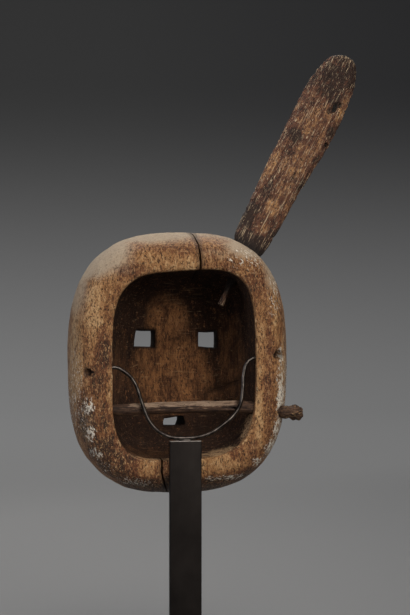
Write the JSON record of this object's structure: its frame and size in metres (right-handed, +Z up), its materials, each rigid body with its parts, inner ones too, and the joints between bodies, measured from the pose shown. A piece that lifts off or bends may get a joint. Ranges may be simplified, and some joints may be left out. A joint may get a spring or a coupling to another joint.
{
  "type": "carved face mask on a display stand",
  "caption": "Carved wooden face mask with a flat horn and a bite bar across its open hollow, carried by a bent steel rod on a flat upright bar and a plate foot.",
  "frame": {"origin": "centre of the foot's flat underside", "axes": "+Z up along the post, +Y the way the carved face looks, so the open back looks along -Y, and +X to the right as the open back is seen, the horn's side"},
  "size_m": [0.3138, 0.17, 0.6548],
  "materials": {
    "old_wood": "worn, dry patina",
    "horn_wood": "worn, dark patina",
    "bar_wood": "dry, greyed",
    "rod_steel": "blackened, satin",
    "post_steel": "blackened, satin",
    "foot_steel": "blackened, satin"
  },
  "bodies": {
    "root": {"mask_shell": "old_wood", "horn": "horn_wood", "bite_bar": "bar_wood", "cradle_rod": "rod_steel", "stand_post": "post_steel", "stand_foot": "foot_steel"}
  },
  "joints": []
}
